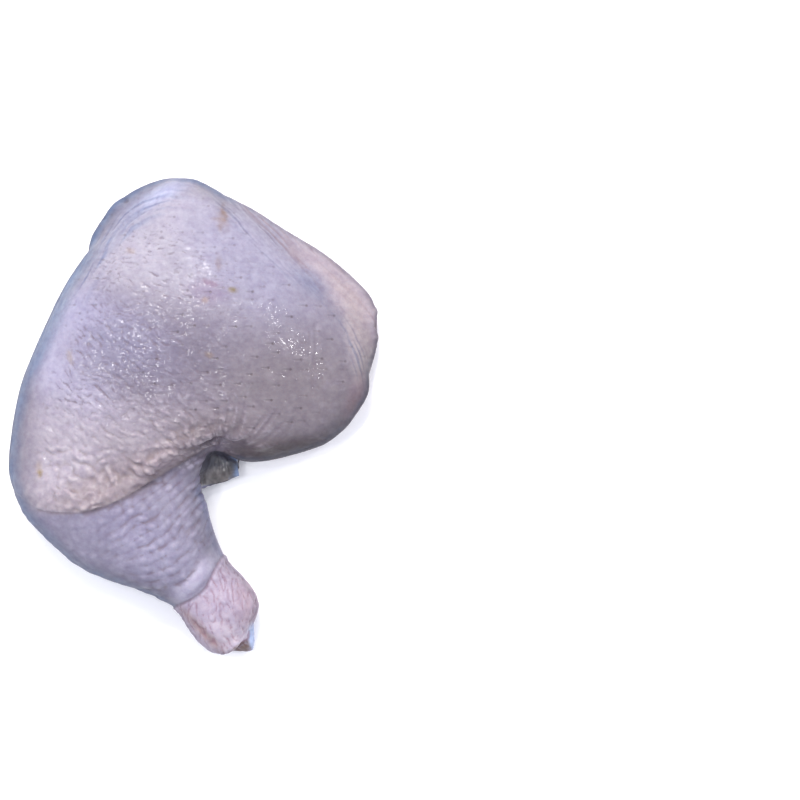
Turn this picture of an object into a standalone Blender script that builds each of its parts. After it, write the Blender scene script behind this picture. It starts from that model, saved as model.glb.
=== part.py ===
"""Raw chicken leg quarter: thigh with its back portion and drumstick in one piece, lying skin side up.

Lengths are in millimetres until the finished mesh is scaled to metres. In plan, +X runs from the knee
side to the flank and +Y from the hock to the hip; +Z is up, off the skin side. The leg is folded at the
knee, so that the drumstick turns back under the thigh and a deep notch is left between them.
"""

import math

import bmesh
import bpy
import numpy as np
from mathutils import Vector, noise

MM = 0.001

# Plan outlines, walked clockwise from the hip.
THIGH_OUTLINE = (
    (-5, 101),  # hip
    (8, 98),
    (29, 79),
    (50, 58),
    (67, 37),
    (76, 15),  # flank
    (70.5, 1),
    (57.5, -11.5),
    (37, -19.8),
    (20, -20.3),
    (9, -16),  # notch behind the knee
    (-5, -32),
    (-24, -46),
    (-46, -52),  # over the top of the drumstick
    (-66, -48),
    (-78.2, -28),  # knee
    (-78.2, -12),
    (-70, 17.5),
    (-61, 42.5),
    (-50, 62),
    (-33, 78),
    (-18, 94),
)
THIGH_MIDDLE = (-4, 30)
BACK_OUTLINE = (
    (-4, 101),  # hip
    (12, 94),
    (35.5, 81),
    (56, 68),
    (71.5, 56.5),
    (78.5, 45.5),  # tail corner
    (77, 22),
    (60, 0),
    (10, 20),
    (-30, 45),
    (-44.5, 68),
    (-42.3, 77),  # cut corner over the spine
    (-33, 91),
    (-18, 99.8),
)
BACK_MIDDLE = (20, 50)
TAB_OUTLINE = ((-4, -12), (18, -16), (19.3, -25.5), (13, -29), (2, -31), (-6, -26))
TAB_MIDDLE = (5, -22)
FLAP_OUTLINE = ((14, -88), (25, -88), (26.2, -95), (26, -101.2), (19, -101.8), (13, -98))
FLAP_MIDDLE = (20, -95)

# Each mass: the height of its widest level, its top and bottom, and the exponent of its rounded section.
THIGH_SECTION = (12, 38.5, -4, 2.05)
BACK_SECTION = (8, 17, -6, 2.6)
TAB_SECTION = (5, 9, 0, 2.2)
FLAP_SECTION = (6, 9, 2, 2.2)

# Stations down a limb: plan points on its outer and inner side, height of the widest level, top.
DRUMSTICK_STATIONS = (
    ((-66, -6), (-24, 0), 13, 22),
    ((-76.5, -23), (-10, -16), 13, 29),
    ((-72.5, -38), (1, -25), 13, 32),
    ((-60, -54), (6.8, -34.5), 13, 33),
    ((-39.5, -67.8), (8.7, -43), 13, 33),
    ((-22, -74), (10.8, -50), 13, 31.5),
    ((-10.5, -78), (13, -57), 13, 30),
    ((-6.5, -80.4), (15, -62), 12.5, 29),  # fold of skin round the hock
)
HOCK_STATIONS = (
    ((-6, -70), (12, -58), 12.5, 23),
    ((-6.5, -79), (20.5, -67.5), 12.5, 25),
    ((-5.8, -83.5), (26, -75), 12, 26),
    ((-3.2, -88), (27.9, -80.7), 11.5, 25),
    ((0, -93.5), (25.5, -88), 11, 23.5),
    ((4.5, -98), (25, -94.5), 11, 22),
    ((9.5, -101), (24.5, -100), 10.5, 19),
)
LIMB_BOTTOM = -3
LIMB_SQUARENESS = 2.1

# Folds pressed into the skin side: half width, then plan x, y and depth along each.
SKIN_FOLDS = (
    (5.5, ((-64, -37, 0.1), (-54, -40, 0.4), (-44, -40, 0.9), (-36, -38, 1.4), (-23, -32, 2.4),
           (-11, -25, 3.4), (1, -17, 4), (8, -14, 3))),  # crease over the drumstick
    (4, ((3, -14, 3), (12, -13, 4), (21, -15, 3), (33, -17, 0.8))),  # notch
    (3, ((10, -11, 2), (18, -7, 1.4), (27, -3, 0.3))),
    (3, ((17, -13, 2), (27, -11, 1.4), (38, -8, 0.3))),
    (3.2, ((14, -58, 2), (10, -66, 2.4), (6, -72, 2.4), (-4, -79, 2))),  # cuff over the hock
    (5, ((6, 99, 0.2), (29, 77, 0.6), (50, 56, 0.8), (67, 36, 0.8), (75, 17, 0.2))),  # rim of the back
    (4, ((-50, 61, 0.3), (-38, 70, 0.5), (-26, 82, 0.4), (-12, 92, 0.1))),
    (4, ((22, -92, 1), (14, -95, 1.6), (9, -93, 0.6))),  # groove by the end of the hock
    (3, ((-36, -46, 0.2), (-18, -44, 0.5), (-2, -36, 0.7), (5, -30, 0.4))),  # folds of the drumstick
    (3, ((-40, -57, 0.2), (-22, -57, 0.5), (-6, -50, 0.7), (6, -42, 0.4))),
    (2.8, ((-30, -66, 0.2), (-14, -64, 0.6), (0, -57, 0.8), (9, -50, 0.4))),
    (2.6, ((-18, -71, 0.2), (-6, -68, 0.6), (4, -61, 0.8), (10, -56, 0.4))),
    (2.6, ((2, -82, 0.6), (5, -90, 1), (10, -98, 0.6))),
    (2.6, ((12, -76, 0.6), (14, -84, 1), (17, -91, 0.6))),
)

# What bears on the floor of the flesh side: plan x, y, half length, half breadth, turn in degrees.
FLESH_LUMPS = (
    (-26, 84, 13, 8, 25),  # backbone, its segments from the front end to the tail
    (-11, 90, 9, 7, 0),
    (2, 88, 8, 7, -35),
    (13, 83, 8, 7, -35),
    (24, 77, 8, 7, -35),
    (35, 70, 8, 7, -35),
    (46, 63, 8, 7, -35),
    (57, 55, 9, 7, -40),
    (6, 71, 26, 6, -18),  # hip bone
    (3, 59, 8, 7, 0),
    (42, 46, 10, 8, 20),  # fat at the tail
    (59, 41, 11, 9, -60),
    (62, 25, 10, 8, -80),
    (38, 29, 17, 8, 10),  # muscles of the flank
    (43, 14, 20, 8, -12),
    (50, -2, 20, 11, 20),
    (2, 36, 22, 10, -30),  # muscles of the thigh
    (8, 14, 16, 9, -10),
    (-22, 17, 21, 12, -35),
    (6, -6, 24, 10, 8),
    (-38, -12, 28, 14, -12),
    (-39, 40, 38, 10, -64),
    (-56, 4, 26, 10, -74),
    (-28, -33, 48, 6, 16),  # fat along the edge of the skin
    (-36, -50, 42, 22, -32),  # drumstick and hock
    (-8, -62, 32, 24, -45),
    (12, -88, 30, 26, -65),
    (7, -24, 12, 7, -10),
)
FLESH_GAP = 5  # height of the valleys between them
LUMP_FULLNESS = 1.25  # above 1 leaves each with a flat spot
HOLLOWS = ((11, ((18, 58, 4), (30, 54, 4))),)  # pelvis

# The cut end of the hock is open: a mouth in the skin, sunk toward the drumstick.
MOUTH = (20.5, -97.5, 12)
MOUTH_RADIUS = 9
MOUTH_DEPTH = 6
MOUTH_RUN = (-0.45, 0.89, 0)

UNEVENNESS = 1.8  # most that the flesh swells or sinks
UNEVEN_SPAN = 26  # size of the swells

SIDES = 72  # points round a plan outline or a limb
RINGS = 36  # sections down a limb
NOTCH_REACH = 0.55  # how far in from the rim the dent of the notch is felt
VOXEL = 1.5
FILLET_PASSES = 9  # of smoothing, where the masses meet
RELIEF_PASSES = 2
CONTACT = 0.3  # what comes this near the floor is pressed flat on it
TRIANGLES = 11400


def closed_curve(points, count):
    """Points, evenly spaced in index, on the closed Catmull-Rom curve through a plan outline."""
    curve = []
    total = len(points)
    for step in range(count):
        place = step * total / count
        index = int(place)
        t = place - index
        a, b, c, d = (Vector(points[(index + k) % total]) for k in (-1, 0, 1, 2))
        bend = (2 * a - 5 * b + 4 * c - d) * t * t + (3 * b - a - 3 * c + d) * t**3
        curve.append(b + 0.5 * ((c - a) * t + bend))
    return curve


def power(value, exponent):
    """A signed power, so that a rounded section keeps its sides."""
    return math.copysign(abs(value) ** exponent, value)


def relaxed(edge, middle):
    """The outline with its dents filled out: each point goes to the mean distance round about it."""
    spread = len(edge) // 8
    soft = []
    for k, point in enumerate(edge):
        near = [(edge[(k + j) % len(edge)] - middle).length for j in range(-spread, spread + 1)]
        soft.append(middle + (point - middle).normalized() * sum(near) / len(near))
    return soft


def skin_material():
    material = bpy.data.materials.new("raw chicken skin")
    material.use_nodes = True
    shader = material.node_tree.nodes["Principled BSDF"]
    shader.inputs["Base Color"].default_value = (0.50, 0.44, 0.52, 1)
    shader.inputs["Roughness"].default_value = 0.32
    shader.inputs["Metallic"].default_value = 0
    return material


def bridged(name, rings, poles):
    """A closed mesh object of rings of equal count, closed at both ends by a fan to a pole."""
    mesh = bmesh.new()
    loops = [[mesh.verts.new(point) for point in ring] for ring in rings]
    for low, high in zip(loops, loops[1:]):
        for k in range(len(low)):
            after = (k + 1) % len(low)
            mesh.faces.new((low[k], low[after], high[after], high[k]))
    for loop, pole in zip((loops[0], loops[-1]), poles):
        tip = mesh.verts.new(pole)
        for k in range(len(loop)):
            mesh.faces.new((loop[k], loop[(k + 1) % len(loop)], tip))
    bmesh.ops.recalc_face_normals(mesh, faces=mesh.faces)
    data = bpy.data.meshes.new(name)
    mesh.to_mesh(data)
    mesh.free()
    made = bpy.data.objects.new(name, data)
    bpy.context.collection.objects.link(made)
    return made


def add_mass(name, outline, middle, section):
    """A cushion-shaped mass: its outline is widest at one level, and draws in above and below it."""
    level, top, bottom, squareness = section
    middle = Vector(middle)
    edge = closed_curve(outline, SIDES)
    rounder = relaxed(edge, middle)
    rings = []
    bands = 20
    for band in range(1, bands):
        latitude = math.pi * (band / bands - 0.5)
        reach = math.cos(latitude) ** (2 / squareness)
        rise = power(math.sin(latitude), 2 / squareness)
        height = level + rise * ((top - level) if rise > 0 else (level - bottom))
        inward = 1 - max(0, (reach - NOTCH_REACH) / (1 - NOTCH_REACH))
        ring = []
        for sharp, soft in zip(edge, rounder):
            point = sharp.lerp(soft, inward)
            ring.append((*(middle + (point - middle) * reach), height))
        rings.append(ring)
    return bridged(name, rings, [(*middle, bottom), (*middle, top)])


def add_limb(name, stations):
    """A limb lofted smoothly through its stations, each a rounded upright section."""
    rings = []
    last = len(stations) - 1
    for step in range(RINGS + 1):
        place = step * last / RINGS
        index = min(int(place), last - 1)
        t = place - index
        near = [stations[min(max(index + k, 0), last)] for k in (-1, 0, 1, 2)]
        a, b, c, d = (Vector((*outer, *inner, level, top)) for outer, inner, level, top in near)
        bend = (2 * a - 5 * b + 4 * c - d) * t * t + (3 * b - a - 3 * c + d) * t**3
        here = b + 0.5 * ((c - a) * t + bend)
        outer, inner = Vector(here[0:2]), Vector(here[2:4])
        level, top = here[4], here[5]
        ring = []
        for side in range(SIDES):
            angle = 2 * math.pi * side / SIDES
            across = 0.5 + 0.5 * power(math.cos(angle), 2 / LIMB_SQUARENESS)
            rise = power(math.sin(angle), 2 / LIMB_SQUARENESS)
            height = level + rise * ((top - level) if rise > 0 else (level - LIMB_BOTTOM))
            ring.append((*outer.lerp(inner, across), height))
        rings.append(ring)
    ends = [sum((Vector(point) for point in ring), Vector((0, 0, 0))) / SIDES for ring in (rings[0], rings[-1])]
    return bridged(name, rings, ends)


def clear_scene():
    for old in list(bpy.data.objects):
        bpy.data.objects.remove(old)


def fused(pieces, name):
    """The pieces joined into one closed skin."""
    bpy.ops.object.select_all(action="DESELECT")
    for piece in pieces:
        piece.select_set(True)
    body = pieces[0]
    bpy.context.view_layer.objects.active = body
    bpy.ops.object.join()
    body.name = body.data.name = name
    remesh = body.modifiers.new("fuse", "REMESH")
    remesh.mode = "VOXEL"
    remesh.voxel_size = VOXEL
    bpy.ops.object.modifier_apply(modifier=remesh.name)
    return body


def soften(body, passes):
    smooth = body.modifiers.new("soften", "SMOOTH")
    smooth.factor = 0.5
    smooth.iterations = passes
    bpy.ops.object.modifier_apply(modifier=smooth.name)


def fold_depths(plan, folds):
    """How deep the folds are at plan points: deepest on their lines, nothing a half width away."""
    total = np.zeros(len(plan))
    for half_width, path in folds:
        deepest = np.zeros(len(plan))
        for start, end in zip(np.array(path[:-1]), np.array(path[1:])):
            run = (end - start)[:2]
            along = np.clip((plan - start[:2]) @ run / (run @ run), 0, 1)
            nearest = start + along[:, None] * (end - start)
            away = np.linalg.norm(plan - nearest[:, :2], axis=1) / half_width
            depth = nearest[:, 2] * (1 - np.minimum(away, 1) ** 2) ** 2
            deepest = np.maximum(deepest, depth)
        total += deepest
    return total


def flesh_depths(plan):
    """How far the flesh side stands off the floor: nothing on a lump, most in the valleys."""
    fullest = np.zeros(len(plan))
    for x, y, half_length, half_breadth, turn in FLESH_LUMPS:
        along = np.array((math.cos(math.radians(turn)), math.sin(math.radians(turn))))
        across = np.array((-along[1], along[0]))
        out = plan - (x, y)
        away = np.hypot(out @ along / half_length, out @ across / half_breadth)
        fullest = np.maximum(fullest, np.sqrt(np.maximum(1 - away**2, 0)))
    return FLESH_GAP * (1 - np.minimum(LUMP_FULLNESS * fullest, 1)) + fold_depths(plan, HOLLOWS)


def plan_of(body):
    return np.array([vertex.co[:2] for vertex in body.data.vertices])


def press_in(body, depths, facing):
    """Pressed in by these depths, on the side that faces up (1) or down (-1)."""
    vertices = body.data.vertices
    leans = [min(max(2 * vertex.normal.z * facing, 0), 1) for vertex in vertices]
    shifts = [vertex.normal * (-depth * lean) for vertex, depth, lean in zip(vertices, depths, leans)]
    for vertex, shift in zip(vertices, shifts):
        vertex.co += shift


def make_uneven(body):
    vertices = body.data.vertices
    shifts = [vertex.normal * noise.noise(vertex.co / UNEVEN_SPAN) * UNEVENNESS for vertex in vertices]
    for vertex, shift in zip(vertices, shifts):
        vertex.co += shift


def open_hock(body):
    middle = Vector(MOUTH)
    for vertex in body.data.vertices:
        away = (vertex.co - middle).length / MOUTH_RADIUS
        if away < 1:
            vertex.co += Vector(MOUTH_RUN) * MOUTH_DEPTH * (1 - away**2) ** 2


def cut_to_floor(body):
    """What lies below the floor is pressed up flat on it."""
    for vertex in body.data.vertices:
        if vertex.co.z < CONTACT:
            vertex.co.z = 0


def thin_out(body):
    thinner = body.modifiers.new("thin out", "DECIMATE")
    body.data.calc_loop_triangles()
    thinner.ratio = TRIANGLES / len(body.data.loop_triangles)
    thinner.use_collapse_triangulate = True
    bpy.ops.object.modifier_apply(modifier=thinner.name)


def to_metres(body):
    """Scaled to metres, with the middle of its footprint at the origin and its lowest face at zero."""
    vertices = body.data.vertices
    low = Vector(min(vertex.co[axis] for vertex in vertices) for axis in range(3))
    high = Vector(max(vertex.co[axis] for vertex in vertices) for axis in range(3))
    shift = Vector(((low.x + high.x) / 2, (low.y + high.y) / 2, low.z))
    for vertex in vertices:
        vertex.co = (vertex.co - shift) * MM


def main():
    clear_scene()
    pieces = [
        add_mass("thigh", THIGH_OUTLINE, THIGH_MIDDLE, THIGH_SECTION),
        add_mass("back", BACK_OUTLINE, BACK_MIDDLE, BACK_SECTION),
        add_mass("tab", TAB_OUTLINE, TAB_MIDDLE, TAB_SECTION),
        add_mass("flap", FLAP_OUTLINE, FLAP_MIDDLE, FLAP_SECTION),
        add_limb("drumstick", DRUMSTICK_STATIONS),
        add_limb("hock", HOCK_STATIONS),
    ]
    body = fused(pieces, "leg_quarter")
    soften(body, FILLET_PASSES)
    make_uneven(body)
    press_in(body, fold_depths(plan_of(body), SKIN_FOLDS), 1)
    open_hock(body)
    cut_to_floor(body)
    press_in(body, flesh_depths(plan_of(body)), -1)
    soften(body, RELIEF_PASSES)
    thin_out(body)
    cut_to_floor(body)
    to_metres(body)
    body.data.materials.clear()
    body.data.materials.append(skin_material())
    body.data.shade_smooth()


main()
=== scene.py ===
import math
import bpy
import numpy as np
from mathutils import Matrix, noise


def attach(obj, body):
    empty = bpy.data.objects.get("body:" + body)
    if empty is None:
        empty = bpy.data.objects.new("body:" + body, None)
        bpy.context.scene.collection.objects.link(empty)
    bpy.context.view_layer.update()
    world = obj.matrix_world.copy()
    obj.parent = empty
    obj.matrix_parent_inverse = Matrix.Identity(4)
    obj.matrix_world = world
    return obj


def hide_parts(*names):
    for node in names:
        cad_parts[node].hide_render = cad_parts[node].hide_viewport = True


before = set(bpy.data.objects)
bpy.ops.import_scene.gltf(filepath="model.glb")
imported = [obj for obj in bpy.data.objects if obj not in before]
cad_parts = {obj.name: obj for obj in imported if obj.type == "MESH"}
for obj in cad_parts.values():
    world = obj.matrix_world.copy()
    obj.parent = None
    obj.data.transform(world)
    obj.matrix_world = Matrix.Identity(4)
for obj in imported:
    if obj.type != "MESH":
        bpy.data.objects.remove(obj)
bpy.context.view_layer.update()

# A raw chicken leg quarter, skin side up, seen from straight above.
# Places and sizes are in millimetres in the part's own frame. Only the camera, the lamps and the board
# are in metres, and so are the finished meshes.

mm = 0.001


def hexToLinear(code):
    parts = [int(code[k:k + 2], 16) / 255 for k in (1, 3, 5)]
    return [v / 12.92 if v <= 0.04045 else ((v + 0.055) / 1.055) ** 2.4 for v in parts]


def addNode(tree, kind, settings=None, inputs=None):
    node = tree.nodes.new("ShaderNode" + kind)
    for name, value in (settings or {}).items():
        setattr(node, name, value)
    for name, value in (inputs or {}).items():
        if isinstance(value, bpy.types.NodeSocket):
            tree.links.new(value, node.inputs[name])
        else:
            node.inputs[name].default_value = value
    return node


def addMath(tree, operation, *values):
    return addNode(tree, "Math", {"operation": operation}, dict(enumerate(values))).outputs[0]


def addFade(tree, value, start, end, top):  # top below start, 0 above end, smooth between
    return addNode(tree, "MapRange", {"interpolation_type": "SMOOTHSTEP"}, {
        "Value": value, "From Min": start, "From Max": end, "To Min": top, "To Max": 0.0}).outputs["Result"]


def startFinish(name, surface):  # a material whose shader has what is the same all over
    material = bpy.data.materials.new(name)
    material.use_nodes = True
    shader = material.node_tree.nodes["Principled BSDF"]
    for socket, value in surface.items():
        shader.inputs[socket].default_value = value
    return material, material.node_tree, shader


def deselectAll():
    for thing in bpy.context.selected_objects:
        thing.select_set(False)


def makeActive(thing):
    deselectAll()
    thing.select_set(True)
    bpy.context.view_layer.objects.active = thing


def applyModifier(thing, kind, settings):
    makeActive(thing)
    modifier = thing.modifiers.new(kind.lower(), kind)
    for name, value in settings.items():
        setattr(modifier, name, value)
    bpy.ops.object.modifier_apply(modifier=modifier.name)


def readPoints(thing, what="co"):
    values = np.empty(len(thing.data.vertices) * 3)
    thing.data.vertices.foreach_get(what, values)
    return values.reshape(-1, 3)


def writePoints(thing, points):
    thing.data.vertices.foreach_set("co", points.ravel())
    thing.data.update()


def addTint(thing, colours):  # one colour for each point, which the finish reads
    layer = thing.data.color_attributes.new("tint", "FLOAT_COLOR", "POINT")
    rgba = np.concatenate((np.clip(colours, 0, 1), np.ones((len(colours), 1))), axis=1)
    layer.data.foreach_set("color", rgba.ravel())


def addLayer(thing, name, values):  # one number for each point
    layer = thing.data.attributes.new(name, "FLOAT", "POINT")
    layer.data.foreach_set("value", values)


def mixInto(colours, code, amount):
    return colours + (np.array(hexToLinear(code)) - colours) * amount[:, None]


def ease(values, low, high):  # 0 below low, 1 above high, smooth between
    t = np.clip((values - low) / (high - low), 0, 1)
    return t * t * (3 - 2 * t)


def patchAt(points, x, y, halfLength, halfBreadth, turn=0, soft=0.35):  # 1 inside an oval, 0 outside
    a = math.radians(turn)
    out = points[:, :2] - (x, y)
    along = (out @ (math.cos(a), math.sin(a))) / halfLength
    across = (out @ (-math.sin(a), math.cos(a))) / halfBreadth
    return 1 - ease(np.hypot(along, across), 1 - soft, 1 + soft)


def lineAt(points, path):  # distance to a line in plan, + on its left, and how far along it, 0 to 1
    nearest = np.full(len(points), 1e9)
    side = np.ones(len(points))
    place = np.zeros(len(points))
    path = np.array(path, float)
    lengths = np.linalg.norm(np.diff(path[:, :2], axis=0), axis=1)
    done = 0
    for start, end, length in zip(path, path[1:], lengths):
        run = (end - start)[:2]
        t = np.clip((points[:, :2] - start[:2]) @ run / (run @ run), 0, 1)
        off = points[:, :2] - start[:2] - t[:, None] * run
        far = np.linalg.norm(off, axis=1)
        closer = far < nearest
        cross = run[0] * off[:, 1] - run[1] * off[:, 0]
        nearest[closer] = far[closer]
        side[closer] = np.sign(cross[closer])
        place[closer] = (done + t * length)[closer] / lengths.sum()
        done += length
    return nearest * side, place


def curved(path, steps=4):  # the same path, its corners rounded into one smooth curve
    path = np.array(path, float)
    ends = np.concatenate((path[:1], path, path[-1:]))
    run = []
    for a, b, c, d in zip(ends, ends[1:], ends[2:], ends[3:]):
        for t in np.arange(steps) / steps:
            square = (a - 2.5 * b + 2 * c - d / 2) * t ** 2
            cube = (1.5 * (b - c) + (d - a) / 2) * t ** 3
            run.append(b + (c - a) * t / 2 + square + cube)
    return run + [path[-1]]


def groove(points, path, halfWidth, depth, taper):  # a fold pressed in along a line, fading at its ends
    far, place = lineAt(points, curved(path, 3))
    fade = ease(place, 0, taper) * (1 - ease(place, 1 - taper, 1))
    return -depth * fade * np.maximum(1 - (far / halfWidth) ** 2, 0) ** 2


def grained(points, turn, long, short, seed):  # coordinates in which a grain of that size is one unit
    a = math.radians(turn)
    along = points[:, :2] @ (math.cos(a), math.sin(a))
    across = points[:, :2] @ (-math.sin(a), math.cos(a))
    return np.stack((along / long, across / short, points[:, 2] / (1.6 * short) + 7.3 * seed), axis=1)


def swells(coords):  # smooth noise, -1 to 1
    return np.array([noise.noise(p) for p in coords])


def ripples(coords):  # rounded folds with pinched valleys between, 0 to 1
    first = np.minimum(np.abs(swells(coords)) * 2.3, 1)
    second = np.minimum(np.abs(swells(coords * 2.1 + 4.7)) * 2.3, 1)
    both = 0.7 * first + 0.3 * second
    return 1 - (1 - both) ** 1.8


def dents(coords):  # short pits in a rounded ground, 0 to 1
    return 1 - ease(swells(coords), 0.08, 0.42)


def cobbles(coords):  # rounded cells with pinched joints, 0 to 1
    near = np.array([noise.voronoi(p)[0][:2] for p in coords])
    return ease(near[:, 1] - near[:, 0], -0.1, 0.8) * (1 - 0.5 * np.minimum(near[:, 0], 1) ** 2)


def beads(coords):  # soft mounds side by side, 1 on top, 0 between
    return 1 - ease(np.array([noise.voronoi(p)[0][0] for p in coords]), 0.05, 0.75)


# Camera, lamps and board, in metres.

studio = {
    "lens": 85,
    "camera": (0.0869, 0.0065, 0.8083),
    "aim": (0.0, 0.0, 0.02),  # where the lamps point
    "sky": "#eaedfa",
    "skyStrength": 1.235,
    "board": "#ffffff",
    "boardSize": 6,
    "boardDrop": 0.0002,  # so that it never shares a plane with the skin
    # place, size, power, colour, and whether it is seen in the wet film
    "lamps": {
        "window": ((-0.10, 0.62, 0.62), 0.45, 6.1, "#fff9f0", False),  # lights the skin
        "pane": ((-0.06, 0.54, 0.68), 0.10, 0.8, "#fffaf4", True),  # a soft sheen
        "spark": ((-0.01, 0.45, 0.80), 0.03, 1.0, "#ffffff", True),  # and small ones that glint
        "sparkRight": ((0.53, 0.35, 0.75), 0.03, 0.72, "#ffffff", True),
        "sparkFlank": ((0.54, 0.08, 0.75), 0.028, 0.52, "#ffffff", True),
        "sparkLeft": ((-0.14, 0.14, 0.80), 0.03, 0.42, "#ffffff", True),
        "sparkKnee": ((-0.28, -0.03, 0.78), 0.08, 0.9, "#ffffff", True),
    },
}

print("camera and lamps")
deselectAll()
bpy.ops.object.camera_add(location=studio["camera"], rotation=(0, 0, 0))
camera = bpy.context.object
camera.data.lens = studio["lens"]
bpy.context.scene.camera = camera

for name, (place, size, power, colour, glints) in studio["lamps"].items():
    aim = np.array(studio["aim"]) - np.array(place)
    tilt = math.acos(-aim[2] / np.linalg.norm(aim))
    turn = math.atan2(aim[1], aim[0]) - math.pi / 2
    bpy.ops.object.light_add(type="AREA", location=place, rotation=(tilt, 0, turn))
    light = bpy.context.object
    light.name = name + "Lamp"
    light.data.size = size
    light.data.energy = power
    light.data.color = hexToLinear(colour)
    light.visible_glossy = glints

world = bpy.data.worlds.new("paleRoom")
world.use_nodes = True
sky = world.node_tree.nodes["Background"]
sky.inputs["Color"].default_value = (*hexToLinear(studio["sky"]), 1)
sky.inputs["Strength"].default_value = studio["skyStrength"]
bpy.context.scene.world = world
bpy.context.scene.view_settings.view_transform = "Standard"

print("board")
deselectAll()
bpy.ops.mesh.primitive_plane_add(size=studio["boardSize"], location=(0, 0, -studio["boardDrop"]))
board = bpy.context.object
board.name = "board"
# Matt painted board: even and white, with no shine of its own.
boardFinish = startFinish("matt painted board", {
    "Base Color": (*hexToLinear(studio["board"]), 1), "Roughness": 0.9, "Specular IOR Level": 0.1})[0]
board.data.materials.append(boardFinish)


# The form of the leg: the solid's own mesh, smoothed, with folds and the grain of the skin pressed in.

leg = {
    "voxel": 0.56,
    "joinSmoothing": 140,
    "smoothing": 30,
    "mostTriangles": 190000,
    "crease": [(-84, -24), (-75, -31), (-67.6, -36.3), (-60, -39.4), (-47, -40), (-36.6, -38), (-24.6, -32.7),
               (-12.6, -25), (-0.2, -17.2), (6.6, -13.1), (13, -12)],
    "cuff": [(19, -50), (12.6, -58.9), (9.2, -65.8), (5.9, -72.4), (0.5, -76.6), (-4.9, -79), (-14, -83)],
    "backRim": [(6.6, 97.4), (17.8, 86.9), (29.2, 75.5), (38.7, 66), (49.2, 54.7), (59.6, 44.3), (65.9, 36),
                (70.9, 26.7), (73.5, 17), (75, 5), (73, -12)],
    "notch": (11, -14),
    "notchFolds": 19,
    "longNotchFolds": 7,
    # scraps and nicks along the cut edge of the back: x, y, size, rise
    "nubs": [(77.6, 44, 2.2, 1.1), (77.2, 37.6, 1.6, -0.9), (76.8, 33, 2.0, 0.7), (75, 24, 1.8, -0.6),
             (-38.6, 83.6, 1.8, -1.0), (-33, 88, 2.2, 0.7), (-29, 91, 1.6, -0.9), (-44, 77, 2.4, 0.5)],
    # single folds: path, half width, depth, taper
    "grooves": [
        ([(51, 44), (51.8, 31), (51.2, 21), (49.6, 2)], 1.3, 0.14, 0.25),  # faint lines down the right lobe
        ([(49.2, 38), (49.4, 28), (49, 18)], 1.0, 0.08, 0.25),
        ([(-1, -84), (4, -89.5), (12, -97)], 2.4, 0.6, 0.25),  # folds at the left of the hock
        ([(-3, -86), (1, -91), (8, -98.5)], 1.8, 0.3, 0.25),
        ([(27.6, -74), (25.8, -82), (24.1, -88), (23.0, -94.4), (19.7, -96.2), (16.9, -98.3), (13, -101)],
         1.1, 0.8, 0.12),  # edge of the skin at the open end
    ],
    "hockWrinkles": (10, 13.6, 16.8, 20.2, 23.2),  # where each upright wrinkle starts, in x
    # the rows of lumps on the drumstick bow out round their foot: each row is a step from the next
    "rows": {"foot": (4.7, -73), "lean": -54, "step": 4.1, "bow": 0.017, "lumpLength": 4.6,
             "lumpRise": 0.66, "valleyRise": 0.36, "softRise": 0.26},
    # the grain of the thigh's skin, in a fixed order because the place in the list seeds the noise:
    # kind, x, y, half length, half breadth, turn, softness, grain turn, grain long, grain short, rise
    "thighGrain": [
        (beads, -30, -20, 56, 22, 13, 0.5, -10, 6.0, 4.2, 0.6),  # lumps over the knee, down to the crease
        (beads, -34, -10, 50, 24, 8, 0.5, -30, 6.4, 3.0, 0.5),
        (beads, -34, -2, 48, 28, 4, 0.45, -33, 3.4, 2.0, 0.2),
        (beads, -24, 18, 48, 26, -24, 0.5, -32, 6.0, 2.6, 0.3),  # slanting wrinkles over the middle
        (ripples, -22, 20, 48, 30, -24, 0.5, -32, 4.2, 1.9, 0.22),
        (dents, -24, 14, 46, 26, -24, 0.5, -34, 4.6, 1.6, 0.22),
        (swells, -20, 24, 46, 28, -24, 0.5, -28, 9, 5, 0.4),
        (ripples, 4, 4, 30, 20, -15, 0.5, -22, 5, 2.4, 0.2),
        (ripples, -14, 56, 48, 30, -20, 0.5, -14, 4.0, 1.8, 0.16),  # fine wrinkles toward the hip
        (dents, -14, 58, 46, 28, -20, 0.5, -12, 4.6, 1.7, 0.2),
        (swells, 6, 74, 40, 24, -30, 0.5, -30, 7, 5, 0.3),
        (swells, 42, 20, 42, 38, 0, 0.4, 0, 9, 7, 0.45),  # soft dimples of the smooth right lobe
        (ripples, 42, 20, 42, 38, 0, 0.4, -3, 5, 2.4, 0.1),
        (ripples, 30, -6, 28, 12, -4, 0.5, -8, 8, 2.4, 0.16),
        (beads, -51, -25, 22, 13, 8, 0.5, -25, 4.6, 3.2, 0.6),
    ],
    # the grain of the other parts: part, kind, grain turn, grain long, grain short, seed, rise
    "partGrain": [
        ("leftMargin", swells, 80, 14, 2.4, 21, 0.16),  # faint upright streaks
        ("hock", ripples, -80, 9, 2.8, 31, 0.46),  # long soft wrinkles, crossed by small ones
        ("hock", cobbles, -74, 5, 2.6, 33, 0.2),
        ("hock", beads, -60, 3.8, 3.0, 32, 0.22),
        ("rim", cobbles, -40, 2.8, 2.2, 42, 0.12),  # small grains on the fat
    ],
    # bundles of thin folds beside the rim of the back, at the corner over the spine and in to the notch
    "foldDepth": {"rimFolds": 0.2, "earFolds": 0.2, "notchFolds": 0.26},
}


def middleOf(kind):  # swells go up and down from 0, the other kinds from 0.5
    return 0 if kind is swells else 0.5


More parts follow.
